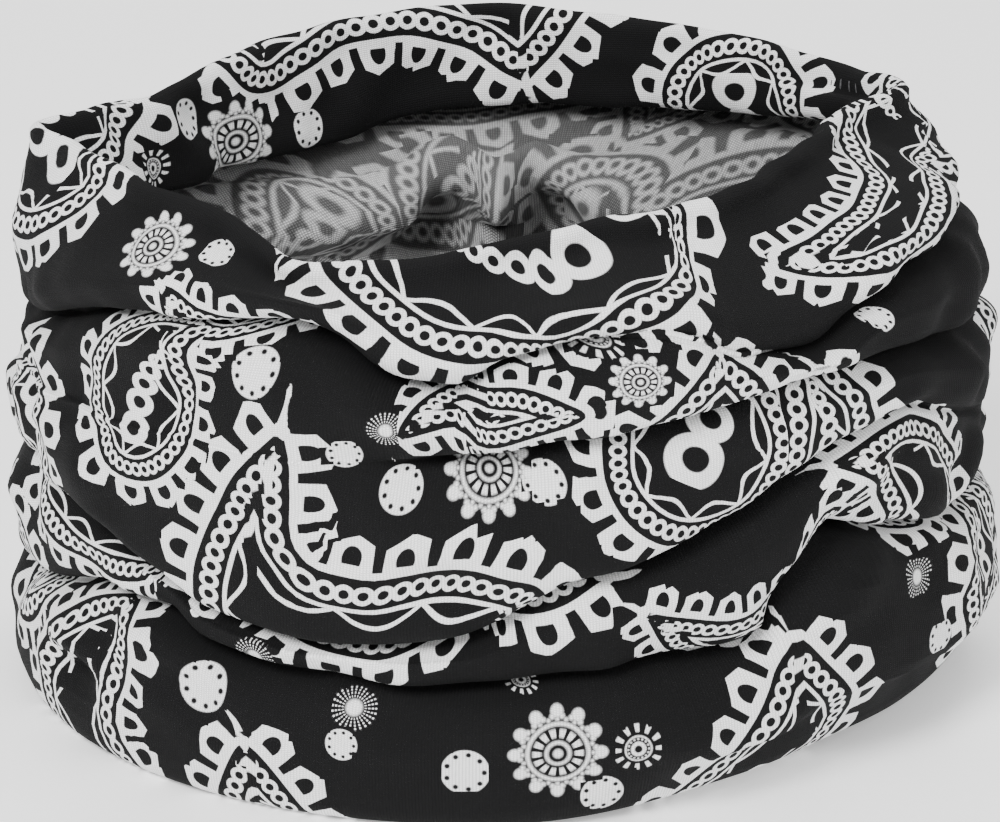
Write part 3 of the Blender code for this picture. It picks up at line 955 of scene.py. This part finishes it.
def makeLabel():
    low, high = (Vector(corner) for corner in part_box("care_label"))
    centre, size = (low + high) / 2, high - low
    bpy.ops.object.select_all(action="DESELECT")
    bpy.ops.mesh.primitive_cube_add(size=1, location=centre, scale=(size.x, size.y, label["thickness"]))
    ribbon = bpy.context.object
    ribbon.name = "care_ribbon"
    bpy.ops.object.transform_apply(location=True, rotation=True, scale=True)
    bpy.ops.object.mode_set(mode="EDIT")
    bpy.ops.mesh.select_all(action="SELECT")
    bpy.ops.mesh.subdivide(number_cuts=23)
    bpy.ops.object.mode_set(mode="OBJECT")
    for vertex in ribbon.data.vertices:  # the ends are folded under and the middle lies a little wavy
        x = (vertex.co.x - centre.x) / (size.x / 2)
        y = (vertex.co.y - centre.y) / (size.y / 2)
        vertex.co.z += 0.00012 * sin(7 * x) * cos(2.5 * y) + 0.0002 * smoothStep((abs(x) - 0.86) / 0.08)
    bevel = ribbon.modifiers.new("soft edge", "BEVEL")
    bevel.width = 0.0001
    bevel.segments = 2
    bevel.angle_limit = radians(60)
    bpy.ops.object.modifier_apply(modifier=bevel.name)
    bpy.ops.object.shade_smooth_by_angle(angle=radians(50))
    satin = wovenFinish("label satin", (0.62, 0.62, 0.60), 0.0004, 0.00003, 0.42)
    finishPiece(ribbon, satin, "label_satin", "care_label")


def makeLabelThread(side):
    low, high = (Vector(corner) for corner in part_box("label_stitching_" + side))
    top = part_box("care_label")[1][2]
    pitch = (high.y - low.y) / label["stitches"]
    bpy.ops.object.select_all(action="DESELECT")
    pieces = []
    for number in range(label["stitches"]):
        place = ((low.x + high.x) / 2, low.y + pitch * (number + 0.5), top + 0.00016)
        radius = label["stitchRadius"]
        bpy.ops.mesh.primitive_uv_sphere_add(segments=14, ring_count=9, radius=radius, location=place)
        stitch = bpy.context.object
        bpy.ops.object.mode_set(mode="EDIT")
        bpy.ops.mesh.select_all(action="SELECT")
        bpy.ops.transform.resize(value=(1, 0.42 * pitch / radius, 0.8))
        bpy.ops.object.mode_set(mode="OBJECT")
        pieces.append(stitch)
    for stitch in pieces:
        stitch.select_set(True)
    bpy.context.view_layer.objects.active = pieces[0]
    bpy.ops.object.join()
    bpy.ops.object.transform_apply(location=True, rotation=True, scale=True)
    bpy.ops.object.shade_smooth()
    pieces[0].name = "label_thread_" + side
    finishPiece(pieces[0], labelThread, "label_thread", "label_stitching_" + side)


makeLabel()
labelThread = wovenFinish("label thread", (0.5, 0.5, 0.49), 0.0003, 0.00004, 0.6)
for side in ("left", "right"):
    makeLabelThread(side)
print("care label sewn on")

# floor, light and camera
floorMesh = bpy.data.meshes.new("floor")
floorMesh.from_pydata([(-3, -3, 0), (3, -3, 0), (3, 3, 0), (-3, 3, 0)], [], [(0, 1, 2, 3)])
floor = bpy.data.objects.new("floor", floorMesh)
bpy.context.scene.collection.objects.link(floor)
floorLook = {"Base Color": (0.97, 0.97, 0.97, 1), "Roughness": 0.9, "Emission Color": (1, 1, 1, 1),
             "Emission Strength": 0.35}
floorMaterial = bpy.data.materials.new("pale floor")
floorMaterial.use_nodes = True
for socket, value in floorLook.items():
    floorMaterial.node_tree.nodes["Principled BSDF"].inputs[socket].default_value = value
floorMesh.materials.append(floorMaterial)


def softLight(name, place, target, size, power):
    data = bpy.data.lights.new(name, "AREA")
    data.shape = "RECTANGLE"
    data.size, data.size_y = size
    data.energy = power
    lamp = bpy.data.objects.new(name, data)
    lamp.location = place
    lamp.rotation_euler = (Vector(target) - Vector(place)).to_track_quat("-Z", "Y").to_euler()
    bpy.context.scene.collection.objects.link(lamp)


softLight("key light", (-0.45, -0.75, 0.95), (0, 0, 0.05), (0.5, 0.5), 21)
softLight("fill light", (0.9, -0.6, 0.7), (0, 0, 0.05), (0.8, 0.8), 6)
softLight("top light", (0.1, 0.5, 1.2), (0, 0, 0.05), (0.9, 0.6), 9)
world = bpy.data.worlds.new("studio")
bpy.context.scene.world = world
world.use_nodes = True
world.node_tree.nodes["Background"].inputs["Color"].default_value = (1, 1, 1, 1)
world.node_tree.nodes["Background"].inputs["Strength"].default_value = 0.6

view = {"distance": 1.3, "elevation": 26.0, "target": (0, 0, 0.051), "lens": 246.3}
cameraData = bpy.data.cameras.new("camera")
cameraData.lens = view["lens"]
cameraData.sensor_width = 36
camera = bpy.data.objects.new("camera", cameraData)
bpy.context.scene.collection.objects.link(camera)
elevation = radians(view["elevation"])
target = Vector(view["target"])
camera.location = target + Vector((0, -cos(elevation), sin(elevation))) * view["distance"]
camera.rotation_euler = (target - camera.location).to_track_quat("-Z", "Y").to_euler()
bpy.context.scene.camera = camera
